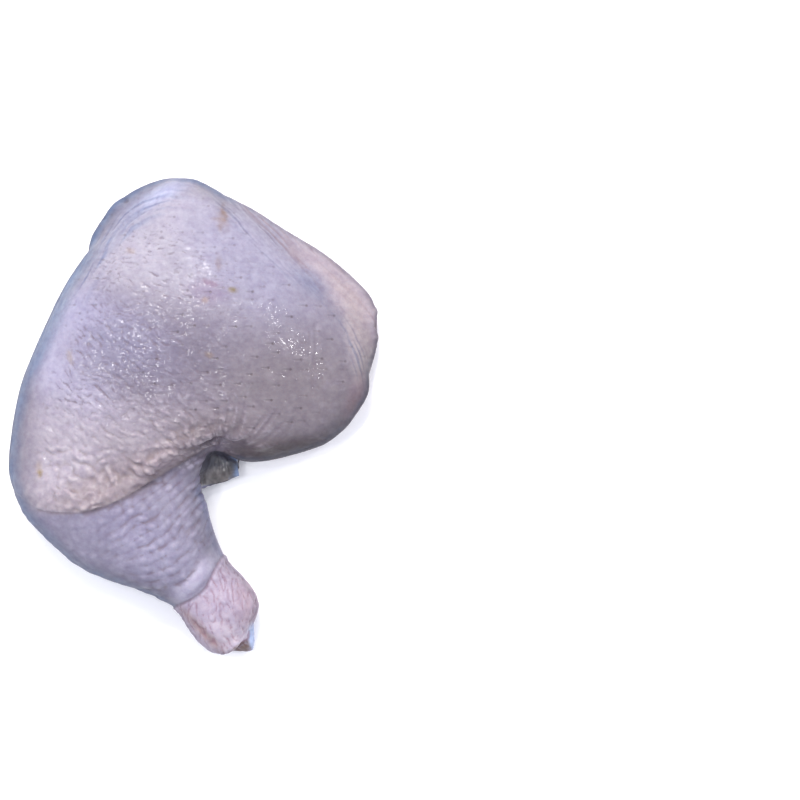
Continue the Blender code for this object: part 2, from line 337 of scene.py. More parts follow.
def edgeFar(points):  # how far inside the outline, as seen from above, each point lies
    cell = 1.5 * leg["voxel"]
    corner = points[:, :2].min(axis=0)
    spots = ((points[:, :2] - corner) / cell).astype(int) + 3
    filled = np.zeros(spots.max(axis=0) + 4, bool)
    filled[spots[:, 0], spots[:, 1]] = True
    grown = filled.copy()
    for axis in (0, 1):
        for shift in (-1, 1):
            grown |= np.roll(filled, shift, axis)
    inner = grown.copy()
    for axis in (0, 1):
        for shift in (-1, 1):
            inner &= np.roll(grown, shift, axis)
    rimSpots = (np.argwhere(grown & ~inner) - 2.5) * cell + corner
    far = np.empty(len(points))
    batch = 4000  # so that the table of distances stays small
    for start in range(0, len(points), batch):
        gap = points[start:start + batch, None, :2] - rimSpots
        far[start:start + batch] = np.sqrt((gap ** 2).sum(axis=2).min(axis=1))
    return np.maximum(far - cell, 0)


def regions(points):  # how far each point belongs to each part of the skin, and how far the seams are
    x, y, z = points.T
    fromCrease = lineAt(points, curved(leg["crease"]))[0]  # + on the thigh
    fromCuff = lineAt(points, curved(leg["cuff"]))[0]  # + on the hock
    fromRim = lineAt(points, leg["backRim"])[0]  # + on the back
    fromEdge = edgeFar(points)
    web = patchAt(points, 13, -23, 11, 9, -25, 0.2) * (1 - ease(z, 10, 14)) * ease(x, 2.5, 4)
    blend = 0.6 + 5 * (1 - ease(x, -74, -40))  # to the left the crease dies out
    limb = ease(-fromCrease, -0.6 * blend, blend) * (1 - ease(x, 9, 16) * ease(y, -56, -48)) * (1 - web)
    hock = limb * ease(fromCuff, -1.0, 1.0) * (1 - ease(y, -58, -50))
    thigh = 1 - limb
    besideRim = ease(fromRim, -8, -2) * (1 - 0.55 * ease(fromRim, 8, 14)) * (1 - ease(fromRim, 18, 24))
    ear = np.maximum(patchAt(points, -46, 66, 46, 16, 52, 0.5), patchAt(points, -14, 92, 24, 9, 20, 0.5))
    return {
        "fromCrease": fromCrease,
        "fromCuff": fromCuff,
        "fromRim": fromRim,
        "fromEdge": fromEdge,
        "web": web,
        "hock": hock,
        "drum": limb - hock,
        "thigh": thigh,
        "leftMargin": thigh * (1 - ease(x - 0.36 * np.maximum(y + 10, 0), -71, -58)),
        "rim": ease(fromRim, -3, 8) * ease(y, -8, 16) * ease(x, 5, 14),
        "rimFolds": besideRim * ease(y, 4, 24) * ease(x, 0, 12) * thigh,
        "earFolds": ear * ease(fromEdge, 0.5, 2.0) * thigh,
        "notchFolds": patchAt(points, 23, -9, 19, 11, 4, 0.5) * thigh,
    }


def bend(points):  # the grain wanders, so no fold runs straight for long
    broad = 3.4 * np.stack([swells(points / 13 + k) for k in (0, 5, 9)], axis=1)
    close = 0.9 * np.stack([swells(points / 3.7 + k) for k in (2, 6, 11)], axis=1)
    return points + broad + close


def longFolds(along, across, seed):  # bundles of thin folds side by side, 1 in each, 0 between
    thin = ease(swells(np.stack((along / 15, across, np.full(len(along), seed)), axis=1)), -0.15, 0.45)
    bundle = np.stack((along / 26, across / 4.5, np.full(len(along), seed + 4)), axis=1)
    return thin * (0.25 + 0.75 * ease(swells(bundle), -0.3, 0.35))


def thinFolds(part, points, area):  # where that bundle lies and how deep in one of its folds, 0 to 1
    near = area[part] > 0.01
    spots = points[near]
    if part == "rimFolds":  # along the rim of the back
        wander = 1.2 * swells(spots / 17 + 4) + 0.25 * swells(spots / 4 + 1)
        along, across, seed = spots[:, :2] @ (0.7, -0.7), (area["fromRim"][near] + wander) / 0.95, 3.3
    elif part == "earFolds":  # along the corner over the spine
        wander = 1.5 * swells(spots / 15 + 2)
        along, across, seed = spots[:, :2] @ (0.64, 0.77), (area["fromEdge"][near] + wander) / 1.1, 8.6
    else:  # out from the notch like a fan
        out = spots[:, :2] - leg["notch"]
        along = np.hypot(out[:, 0], out[:, 1])
        angle = np.arctan2(out[:, 1], out[:, 0]) - 0.016 * along
        across, seed = angle * 9 + 0.7 * swells(spots / 6 + 5), 5.7
    folds = np.zeros(len(points))
    folds[near] = area[part][near] * longFolds(along, across, seed)
    return folds


def drumRows(points, bent, fromCuff):  # rows of linked lumps bow out toward the hock
    rows = leg["rows"]
    lean = math.radians(rows["lean"])
    out = points[:, :2] - rows["foot"]
    down = out @ (math.cos(lean), math.sin(lean))
    across = out @ (-math.sin(lean), math.cos(lean))
    bow = rows["bow"] * ease(down, -48, -22)
    row = (down + bow * across ** 2 + 1.1 * swells(points / 9 + 3)) / rows["step"]
    place = (across + 1.6 * swells(points / 9 + 6)) / rows["lumpLength"]
    lumps = beads(np.stack((row, place, np.full(len(points), 1.7)), axis=1))
    valley = np.abs(np.sin(math.pi * (row + 0.1 * swells(points / 3 + 8)))) ** 0.9
    strong = np.maximum(ease(across, -30, 2), 0.9 * ease(-fromCuff, -30, -10))  # faint toward the knee
    uneven = 0.85 + 0.5 * swells(points / 12 + 4)
    linked = rows["lumpRise"] * (lumps - 0.5) + rows["valleyRise"] * (valley - 0.6)
    soft = rows["softRise"] * (beads(grained(bent, 25, 6.4, 4.8, 22)) - 0.5)
    height = (0.12 + 0.88 * strong) * uneven * linked + soft * (1 - 0.5 * strong)
    return height * ease(fromCuff, 5.0, 7.5)


def skinRelief(points, area):  # height of the lumps, wrinkles and thin folds above the smooth form
    bent = bend(points)
    relief = np.zeros(len(points))
    plain = area["thigh"] * (1 - area["rim"]) * (1 - 0.85 * area["leftMargin"])
    for k, grain in enumerate(leg["thighGrain"]):
        kind, x, y, long, broad, turn, soft, lean, grainLong, grainShort, rise = grain
        weight = patchAt(points, x, y, long, broad, turn, soft) * plain
        near = weight > 0.01
        height = kind(grained(bent[near], lean, grainLong, grainShort, k + 1)) - middleOf(kind)
        uneven = 0.75 + 0.7 * swells(points[near] / 17 + 3 * k)
        relief[near] += rise * weight[near] * uneven * height
    for part, kind, lean, grainLong, grainShort, seed, rise in leg["partGrain"]:
        near = area[part] > 0.01
        height = kind(grained(bent[near], lean, grainLong, grainShort, seed)) - middleOf(kind)
        relief[near] += rise * area[part][near] * height
    near = area["drum"] > 0.01
    fromCuff = np.maximum(-area["fromCuff"][near], 0)
    relief[near] += area["drum"][near] * drumRows(points[near], bent[near], fromCuff)
    for part, depth in leg["foldDepth"].items():
        relief -= depth * thinFolds(part, points, area)
    return relief


def hemFolds(points, area):  # the sagging skin of the thigh ends over the crease in uneven lumps
    near = np.abs(area["fromCrease"])
    onThigh = ease(area["fromCrease"], -0.2, 0.6)
    reach = ease(points[:, 0], -74, -40) * (1 - ease(points[:, 0], 12, 18))
    close = (onThigh > 0) & (near < 16) & (reach > 0)
    bent = bend(points[close])
    hem = np.zeros(len(points))
    hem[close] = beads(grained(bent, 30, 7.5, 9.5, 51))
    form = onThigh * (0.35 + 0.65 * reach) * (0.75 + 0.8 * hem) * np.exp(-((near - 3.4) / 4.4) ** 2)
    lumps = beads(grained(bent, -52, 7.5, 4.4, 52)) + 0.6 * beads(grained(bent, 24, 8, 3.4, 53))
    fade = ease(near[close], -1, 1.6) * (1 - ease(near[close], 7, 16))
    form[close] += 1.25 * (onThigh * reach)[close] * (lumps - 0.55) * fade
    return form


def cuffFolds(points, area):  # the smooth band over the hock, the dip before it and the step down
    near = np.abs(area["fromCuff"])
    band = 0.45 * np.exp(-((near - 3.4) / 3.4) ** 4) - 0.4 * np.exp(-((near - 8.2) / 1.6) ** 2)
    step = np.exp(-(near / 3.0) ** 2)
    return ease(-points[:, 1], 52, 60) * (area["drum"] * band + area["hock"] * step)


def notchGrooves(points):  # folds drawn in to the notch: the first ones long and curled, the rest short
    form = np.zeros(len(points))
    x, y = leg["notch"]
    for k in range(leg["notchFolds"]):
        long = k < leg["longNotchFolds"]
        far = (34 - 2.4 * k + 5 * math.sin(k * 1.7)) if long else (10 + 3 * math.sin(k * 1.7))
        curl, depth = (0.5, 0.36) if long else (-0.2, 0.26)
        angle = math.radians(-4 + 9 * k + 5 * math.sin(k * 2.3))
        path = [(x + out * math.cos(angle + turn), y + out * math.sin(angle + turn))
                for out, turn in ((3, 0), (far * 0.5, curl * 0.4), (far, curl))]
        form += groove(points, path, 1.3, depth, 0.4)
    return form


def bigFolds(points, area):  # the folds that shape the leg
    form = hemFolds(points, area) + cuffFolds(points, area)
    form += 2.4 * area["drum"] * patchAt(points, 1.5, -24, 7, 5, 90, 0.6)  # the drumstick fills out here
    form += area["thigh"] * notchGrooves(points)
    for path, halfWidth, depth, taper in leg["grooves"]:
        form += groove(points, path, halfWidth, depth, taper)
    for k, top in enumerate(leg["hockWrinkles"]):
        path = [(top, -63 - k), (top - 0.6 + 0.8 * math.sin(3 * k), -73),
                (top + 0.5 * math.sin(5 * k), -82 - 2 * math.sin(k)), (top - 1, -92)]
        form += groove(points, path, 1.9, 0.14, 0.25)
    for x, y, size, rise in leg["nubs"]:
        form += rise * np.exp(-((points[:, 0] - x) ** 2 + (points[:, 1] - y) ** 2) / size ** 2)
    return form


def addWeights(thing, name, share):
    group = thing.vertex_groups.new(name=name)
    for k in range(11):
        group.add(np.nonzero(np.round(share * 10) == k)[0].tolist(), k / 10, "REPLACE")


def countTriangles(thing):
    thing.data.calc_loop_triangles()
    return len(thing.data.loop_triangles)


def smoothForm(skin):  # the solid's facets go, and the masses melt into each other where they join
    applyModifier(skin, "SUBSURF", {"levels": 1, "render_levels": 1})
    points = readPoints(skin) / mm
    level = ease(readPoints(skin, "normal")[:, 2], 0.15, 0.55)
    joins = np.maximum(patchAt(points, -38, 72, 32, 18, 50, 0.5), patchAt(points, 44, 60, 62, 18, -50, 0.5))
    joins = np.maximum(joins, 0.5 * patchAt(points, 5, -70, 18, 7, 49, 0.5))
    addWeights(skin, "joins", joins * level)
    applyModifier(skin, "SMOOTH", {
        "factor": 0.5, "iterations": leg["joinSmoothing"], "vertex_group": "joins"})
    applyModifier(skin, "REMESH", {"mode": "VOXEL", "voxel_size": leg["voxel"] * mm})
    points = readPoints(skin) / mm
    edges = np.maximum(patchAt(points, 13, -24, 12, 9, -10, 0.3), patchAt(points, 19, -96, 12, 9, 0, 0.3))
    addWeights(skin, "loose", 1 - 0.85 * edges)  # thin edges of skin stay crisp
    applyModifier(skin, "SMOOTH", {
        "factor": 0.5, "iterations": leg["smoothing"], "vertex_group": "loose"})


def makeLeg():
    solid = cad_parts["leg_quarter"]
    skin = bpy.data.objects.new("legSkin", solid.data.copy())
    bpy.context.scene.collection.objects.link(skin)
    makeActive(skin)
    bpy.ops.object.mode_set(mode="EDIT")
    bpy.ops.mesh.select_all(action="SELECT")
    bpy.ops.mesh.remove_doubles(threshold=0.01 * mm)
    bpy.ops.object.mode_set(mode="OBJECT")
    smoothForm(skin)

    points = readPoints(skin) / mm
    normals = readPoints(skin, "normal")
    area = regions(points)
    outside = ease(normals[:, 2], -0.35, 0.15)  # the side that lies down keeps its flesh
    points += normals * (bigFolds(points, area) * outside)[:, None]
    writePoints(skin, points * mm)
    normals = readPoints(skin, "normal")
    points += normals * (skinRelief(points, area) * outside)[:, None]
    points[:, 2] = np.maximum(points[:, 2], 0)
    writePoints(skin, points * mm)

    count = countTriangles(skin)
    print("leg triangles", count)
    if count > leg["mostTriangles"]:
        lying = 1 - 0.04 * ease(normals[:, 2], -0.4, 0)  # thinned more on the side that lies down
        addWeights(skin, "plain", lying)
        applyModifier(skin, "DECIMATE", {"ratio": leg["mostTriangles"] / count, "vertex_group": "plain"})
        points = readPoints(skin)
        points[:, 2] = np.maximum(points[:, 2], 0)
        writePoints(skin, points)
        print("thinned to", countTriangles(skin))
    makeActive(skin)
    bpy.ops.object.shade_smooth()
    return skin


print("leg form")
legSkin = makeLeg()
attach(legSkin, "root")
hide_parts("leg_quarter")


# The colours of the leg, painted on its points, with painted shade, highlights and reflections.

tint = {
    "ground": "#7d7783",
    # part, colour, x, y, half length, half breadth, turn, strength, softness
    "patches": [
        ("thigh", "#98949e", -6, 76, 48, 28, -10, 1.0, 0.5),
        ("thigh", "#a0a6c2", -16, 92, 17, 4, 24, 0.7, 0.7),  # cool pale skin over the hip
        ("thigh", "#a3a0b4", -47, 26, 18, 38, 22, 0.95, 0.6),
        ("thigh", "#878496", 22, 66, 30, 16, -44, 0.8, 0.6),
        ("thigh", "#6b6471", -6, 16, 44, 24, -22, 0.85, 0.6),  # greyer middle
        ("thigh", "#726a6f", 44, 6, 36, 26, 10, 1.0, 0.6),  # dull mauve right lobe
        ("thigh", "#938b92", -40, -24, 58, 24, 12, 1.0, 0.6),  # cream over the knee
        ("thigh", "#a29ba4", -52, -14, 14, 22, 0, 0.75, 0.6),
        ("thigh", "#7b7682", -69, -22, 5, 22, 0, 0.6, 0.7),
        ("thigh", "#777b91", -58, 41, 24, 6, 64, 0.75, 0.7),
        ("thigh", "#8b7f82", -18, -24, 40, 9, 22, 0.8, 0.6),
        ("thigh", "#9a9097", 62, 54, 26, 7, -44, 1.0, 0.5),  # fat under the rim of the back
        ("thigh", "#958b8d", 71, 26, 24, 5, -78, 1.0, 0.5),
        ("thigh", "#8c7078", 69.5, 5, 12, 4.5, 74, 0.5, 0.7),
        # painted highlight on the fat under the rim of the back
        ("thigh", "#b5a39c", 66, 50, 11, 3.2, -48, 0.2, 0.7),
        ("thigh", "#8b8aa6", -28, 34, 21, 13, -30, 0.3, 0.7),
        ("thigh", "#7b798a", -44, 70, 36, 9, 52, 0.85, 0.6),
        ("thigh", "#6f7389", -21, 84, 9, 6, 40, 0.35, 0.8),  # painted bluish shade in the hollows at the corner over the spine
        ("thigh", "#6f7389", -40, 66, 18, 4, 45, 0.4, 0.8),
        ("thigh", "#6b7189", 50, 56, 8, 4, -45, 0.6, 0.8),  # and painted shade in the shallow valley where the back joins the thigh
        ("drum", "#7e7a8a", -26, -54, 60, 40, -30, 1.0, 0.2),  # lavender drumstick
        ("drum", "#8f91ad", 14, -48, 18, 4, -62, 0.8, 0.7),
        ("drum", "#736f84", -28, -44, 17, 9, -10, 0.55, 0.7),
        ("drum", "#8d899e", -15, -56, 14, 10, -30, 0.5, 0.7),
        ("drum", "#a7a2b2", 3, -70, 22, 5, 49, 0.85, 0.5),  # pale band over the hock
        # painted shade on the drumstick's corner toward the notch
        ("drum", "#565059", 4, -17, 9, 6, 30, 0.8, 0.8),
        ("hock", "#a397a5", 12, -84, 30, 24, -68, 1.0, 0.2),  # pink hock
        ("hock", "#ae9ba5", 25, -80, 12, 6, -75, 0.9, 0.6),
        ("hock", "#b9adb5", 15, -93, 10, 7, -40, 0.8, 0.6),
        ("hock", "#8d7672", 4.5, -90, 12, 2.2, -47, 0.7, 0.6),  # brown fold at its left
        ("hock", "#78665e", 20.5, -98.4, 4.5, 2.6, 20, 1.0, 0.3),  # flesh inside the open end
        ("hock", "#b7c9e6", 25.6, -95, 2.6, 7, 5, 1.0, 0.3),  # pale flap of skin beside it
        ("web", "#5f5c5e", 12, -24, 14, 12, -20, 1.0, 0.2),  # grey web
        # painted shade above the notch
        ("thigh", "#6b6062", 12, -8, 18, 9, 0, 0.7, 0.8),
        ("thigh", "#625d68", 11, -14, 11, 6, 10, 0.7, 0.7),  # painted shade in the depth of the notch
        # painted shade along the lower edge of the right lobe
        ("thigh", "#574c4d", 40, -15.5, 26, 6, 4, 0.9, 0.7),
    ],
    # colour, x, y, half length, half breadth, turn, strength
    "marks": [
        ("#75593f", 13.0, 87, 0.7, 3.0, -8, 0.5),  # rust-brown specks near the hip
        ("#75593f", 13.9, 82.8, 1.0, 2.6, 10, 0.8),
        ("#75593f", 13.6, 82.0, 2.6, 5.4, 10, 0.3),
        ("#75593f", 12.6, 78.4, 0.8, 2.4, 0, 0.4),
        ("#75593f", 11.0, 81.4, 2.2, 0.8, 0, 0.4),
        ("#75593f", 12.6, 62.6, 1.2, 3.0, 0, 0.35),
        ("#7a4c5c", 9.2, 54.3, 3.4, 1.1, -20, 0.5),  # a pink bruise
        ("#74607c", 9.0, 50.5, 8, 4.5, -10, 0.5),
        ("#746631", 18.6, 51.5, 1.9, 1.1, -10, 0.75),  # yellow specks of fat
        ("#6a5a1c", -62, -23.7, 0.9, 1.5, 0, 0.95),
        ("#b09a72", -62.5, -22, 1.4, 3.2, 0, 0.3),
        ("#8f8070", -48.5, 24.1, 1.2, 3, 20, 0.6),
        ("#7f6b58", 8.9, 24.9, 1.8, 1.0, -20, 0.7),
        ("#9a8058", 7.3, 47.3, 1.4, 1.2, 0, 0.4),
        ("#9a7f5a", -24, 68, 1.8, 1.2, -20, 0.4),
    ],
    # painted shade for the valleys of the grain, then painted highlights for its tops
    "valley": "#6b5f69",
    "creamValleyShade": "#796b69",
    "pinkValleyShade": "#85606c",
    "top": "#bdb7c8",
    "creamTopHighlight": "#c2b6b6",
    # painted shade along the thin folds: bluish at the corner and beside the rim, pinkish on the fat, dark at
    # the notch
    "earFoldShade": "#5d6a8a",
    "rimFoldShade": "#5a6580",
    "fatFoldShade": "#83696a",
    "notchFoldShade": "#4f474c",
    # painted edge shading: a blue reflection, then a dark grey or navy edge
    "edgeReflectionBlue": "#566987",
    "edgeShadeGrey": "#35323a",
    "edgeShadeNavy": "#343c5c",
    "flesh": "#998684",
    "fat": "#b3a78f",
    # the side that lies down: colour, x, y, half length, half breadth, turn, strength
    "bare": [
        ("#967c7c", -48, 30, 30, 9, 58, 0.9),  # long muscle beside the skin
        ("#947f80", 40, 26, 16, 12, 20, 0.6),
        ("#8a7a80", -26, -6, 32, 16, 20, 0.8),
        ("#8b8285", -16, 26, 24, 13, -10, 0.8),  # clear membranes
        ("#c2bba2", 50, 46, 18, 7, -38, 0.9),  # lumps of fat
        ("#c2bba2", 62, 30, 7, 8, 0, 0.8),
        ("#c2bba2", -30, -36, 46, 5, 16, 0.9),  # fat along the edge of the skin
        ("#7f5455", 20, 76, 44, 8, -26, 0.9),  # backbone
        ("#a88e8a", 24, 71, 38, 1.6, -26, 0.8),
        ("#5c3a41", 26, 58, 12, 7, -26, 0.9),  # hollow of the hip
        ("#8d7f86", 14, 69, 10, 4, -10, 0.8),  # hip bone
        ("#a98381", 3.7, 62.7, 3.4, 3, 0, 0.9),
    ],
}


def hollows(skin):  # how far each point stands out of (+) or lies in (-) the skin round it, in mm
    makeActive(skin)
    bpy.ops.object.duplicate()
    calm = bpy.context.object
    applyModifier(calm, "SMOOTH", {"factor": 0.5, "iterations": 14})
    gap = (readPoints(skin) - readPoints(calm)) / mm
    out = np.einsum("ij,ij->i", gap, readPoints(calm, "normal"))
    bpy.data.objects.remove(calm)
    return out


def paintGround(points, area, cloud):  # broad patches of colour, clouded
    colours = np.tile(hexToLinear(tint["ground"]), (len(points), 1))
    for part, code, x, y, long, broad, turn, strength, soft in tint["patches"]:
        near = patchAt(points, x, y, long, broad, turn, soft)
        colours = mixInto(colours, code, strength * area[part] * near)
    return colours * (0.93 + 0.14 * cloud)[:, None]


def paintReliefShading(colours, points, area, depth):  # painted shade deepens the valleys of the grain, painted highlight pales its tops
    cream = np.maximum(patchAt(points, -36, -26, 62, 28, 12, 0.35) * area["thigh"], 0.8 * area["rim"])
    # painted shade in the valleys, painted highlight on the tops
    valley = (0.75 - 0.35 * area["hock"]) * ease(-depth, 0.0, 0.15)
    top = 0.32 * ease(depth, 0.01, 0.24)
    colours = mixInto(colours, tint["valley"], valley * (1 - cream - area["hock"]).clip(0, 1))
    colours = mixInto(colours, tint["creamValleyShade"], 0.57 * ease(-depth, 0, 0.24) * cream)
    colours = mixInto(colours, tint["pinkValleyShade"], 1.25 * valley * area["hock"])
    colours = mixInto(colours, tint["top"], top * (1 - cream))
    return mixInto(colours, tint["creamTopHighlight"], top * cream)


def paintMarks(colours, points):  # specks and bruises, with ragged edges
    ragged = 0.75 + 0.5 * swells(points / 1.2)
    for code, x, y, long, broad, turn, strength in tint["marks"]:
        colours = mixInto(colours, code, strength * patchAt(points, x, y, long, broad, turn, 0.6) * ragged)
    return colours


def paintFoldShade(colours, points, normals, area):  # painted shade along the thin folds draws fine darker lines
    ear = thinFolds("earFolds", points, area) * ease(normals[:, 2], 0.3, 0.85)
    rim = thinFolds("rimFolds", points, area)
    onFat = ease(area["fromRim"], 0, 4)
    colours = mixInto(colours, tint["earFoldShade"], 0.56 * ear)
    colours = mixInto(colours, tint["notchFoldShade"], 0.5 * thinFolds("notchFolds", points, area))
    colours = mixInto(colours, tint["rimFoldShade"], 0.42 * rim * (1 - onFat))
    return mixInto(colours, tint["fatFoldShade"], 0.4 * rim * onFat)


def paintEdgeShading(colours, points, normals, area):  # painted edge shading: skin that turns away gets painted shade, then a painted blue reflection, then a dark painted edge
    x, y = points[:, 0], points[:, 1]
    far, drum, hock = area["fromEdge"], area["drum"], area["hock"]
    low = ease(0.6 * x - y, -20, 50) * (1 - 0.55 * drum)  # lower right: more painted shade, with a thinner band of painted blue reflection
    left = 1 - ease(x, -60, 10)
    openEnd = patchAt(points, 22, -97, 7, 7, 0, 0.4)
    spared = 1 - np.maximum(np.maximum(0.8 * area["rim"], 0.65 * hock), openEnd)
    spared *= 1 - 0.75 * patchAt(points, 13, -48, 19, 7, -62, 0.5) * drum
    # painted shade over the skin that turns away toward the edge
    edgeShade = (0.42 + np.maximum(0.2 * low, 0.06 * left)) * spared * (1 - ease(far, 0, 12 - 2 * drum)) ** 1.5
    # painted shadow under the hem of the thigh, along the crease
    hemShadow = 0.3 * np.exp(-(area["fromCrease"] / 1.3) ** 2) * ease(x, -60, -30) * (1 - ease(x, 4, 12))
    colours = colours * (1 - edgeShade)[:, None] * (1 - hemShadow)[:, None]

    upright = ease(normals[:, 2], 0.05, 0.5)  # lower down the skin is pale again
    thinner = 1 - 0.7 * np.maximum(area["rim"], 0.5 * area["earFolds"])
    band = (3.2 + 4.4 * left * (1 - low) + left) * thinner + 4 * patchAt(points, -62, 44, 30, 14, 66, 0.6)
    # painted blue reflection of the room along the edges
    clouded = 0.45 + 0.9 * (0.5 + 0.5 * swells(grained(points, 60, 9, 4, 71)))
    blue = spared * (1 - ease(far / band, 0, 1)) * clouded
    colours = mixInto(colours, tint["edgeReflectionBlue"], 0.78 * blue * (1 - 0.8 * low) * (0.04 + 0.96 * upright))
    # painted shade: a dark grey edge, navy on the drumstick
    dark = 0.8 * (0.4 + 0.6 * low) * (1 - 0.6 * hock) * (1 - ease(far, 0.2, 2.0)) * (0.2 + 0.8 * upright)
    colours = mixInto(colours, tint["edgeShadeGrey"], dark * (1 - drum))
    return mixInto(colours, tint["edgeShadeNavy"], dark * drum)


def bareShare(points, normals, area):  # 1 where no skin covers the flesh
    up, far = normals[:, 2], area["fromEdge"]
    inner = (1 - ease(up, -0.2, 0.15)) * ease(far, 2.5, 5) * (1 - ease(points[:, 2], 10, 14))
    underWeb = patchAt(points, 17, -20, 14, 10, 0, 0.3)
    bare = np.maximum(1 - ease(up, -0.9, -0.5), inner)
    return bare * (area["thigh"] - area["web"]).clip(0, 1) * (1 - underWeb)


def fleshColours(points, depth, cloud):  # the side that lies down
    flesh = np.tile(hexToLinear(tint["flesh"]), (len(points), 1)) * (0.8 + 0.4 * cloud)[:, None]
    for code, x, y, long, broad, turn, strength in tint["bare"]:
        flesh = mixInto(flesh, code, strength * patchAt(points, x, y, long, broad, turn, 0.4))
    flesh *= (1 + 0.12 * swells(grained(points, 62, 16, 1.5, 61)))[:, None]  # fibres
    flesh = mixInto(flesh, tint["fat"], 0.6 * ease(swells(points / 7 + 9), 0.1, 0.5))
    # painted shade in the hollows of the flesh
    return flesh * (1 - 0.35 * ease(-depth, 0, 0.2))[:, None]


def paintLeg(skin):
    points = readPoints(skin) / mm
    normals = readPoints(skin, "normal")
    area = regions(points)
    depth = hollows(skin)
    cloud = 0.5 + 0.5 * swells(points / 11 + 5)
    colours = paintGround(points, area, cloud)
    colours = paintReliefShading(colours, points, area, depth)
    colours = paintMarks(colours, points)
    colours = paintFoldShade(colours, points, normals, area)
    colours = paintEdgeShading(colours, points, normals, area)
    bare = bareShare(points, normals, area)
    addTint(skin, colours + (fleshColours(points, depth, cloud) - colours) * bare[:, None])

    smooth = area["thigh"] * (1 - area["rim"])
    pores = patchAt(points, 24, 22, 54, 38, 0, 0.4)
    pores = np.maximum(pores, 0.55 * patchAt(points, -10, 50, 52, 46, 0, 0.4))
    addLayer(skin, "pores", pores * smooth * ease(normals[:, 2], 0.3, 0.7))
    wet = 0.18 + 0.82 * patchAt(points, 2, 28, 64, 31, -22, 0.5)
    wet = np.maximum(wet, 0.5 * patchAt(points, -36, -12, 48, 28, 10, 0.5))
    wet *= (1 - 0.6 * area["rim"]) * (1 - 0.6 * area["drum"])
    wet = np.maximum(wet, 0.28 * area["drum"] * patchAt(points, -4, -54, 26, 20, -50, 0.5))
    addLayer(skin, "wet", np.maximum(wet, area["web"]) * ease(area["fromEdge"], 0.4, 4))
    grain = patchAt(points, -20, 22, 56, 46, -24, 0.5)
    grain = np.maximum(grain, 0.8 * patchAt(points, 34, 36, 22, 20, -30, 0.5))
    addLayer(skin, "grain", grain * smooth * (1 - 0.8 * area["leftMargin"]))


# The finish of the skin.

skinLook = {
    "mottleGrain": 3.03,  # where fat shows through
    "mottleShare": 0.75,
    "mottleDark": "#dcd6e2",
    "mottlePale": "#ffffff",
    "poreStep": 8.6,  # from pore to pore
    "rowStep": 5.6,  # and from row to row
    "rowShift": 0.5,  # of a step, so that the rows are staggered
    "poreReach": (0.25, 0.85),  # where its dark dot begins to fade, and where it ends
    "poreShade": 0.6,
    "poreTint": "#4c4145",
    "dimpleShift": 1.5,  # its middle lies that far to the left of the pore
    "dimpleSquash": (0.42, 1.5),  # so it reaches 2.4 mm to each side and 0.7 mm up and down
    "dimpleShade": 0.26,
    "filmGrain": 4,  # folds of the wet film, then finer and broader ones
    "fineGrain": 1.111,
    "waveGrain": 5.263,
    "wrinkleLong": 4.2,  # slanting wrinkles over the middle
    "wrinkleShort": 1.7,
    "wrinkleTurn": 32,
    "fineShare": 0.12,  # heights beside that of the film's own folds
    "waveShare": 1.2,
    "wrinkleShare": 0.8,
    "dimpleShare": 0.7,
    "pitShare": -1.1,  # pores and their dimples go in
    "bumps": {"Normal": (0.45, 0.4), "Coat Normal": (0.55, 0.5)},  # strength and height of skin and film
    "surface": {
        "Roughness": 0.5, "IOR": 1.4, "Specular IOR Level": 0.25, "Coat Roughness": 0.1, "Coat IOR": 1.36,
        "Subsurface Weight": 0.12, "Subsurface Radius": (1.0, 0.55, 0.45), "Subsurface Scale": 2 * mm,
    },
}


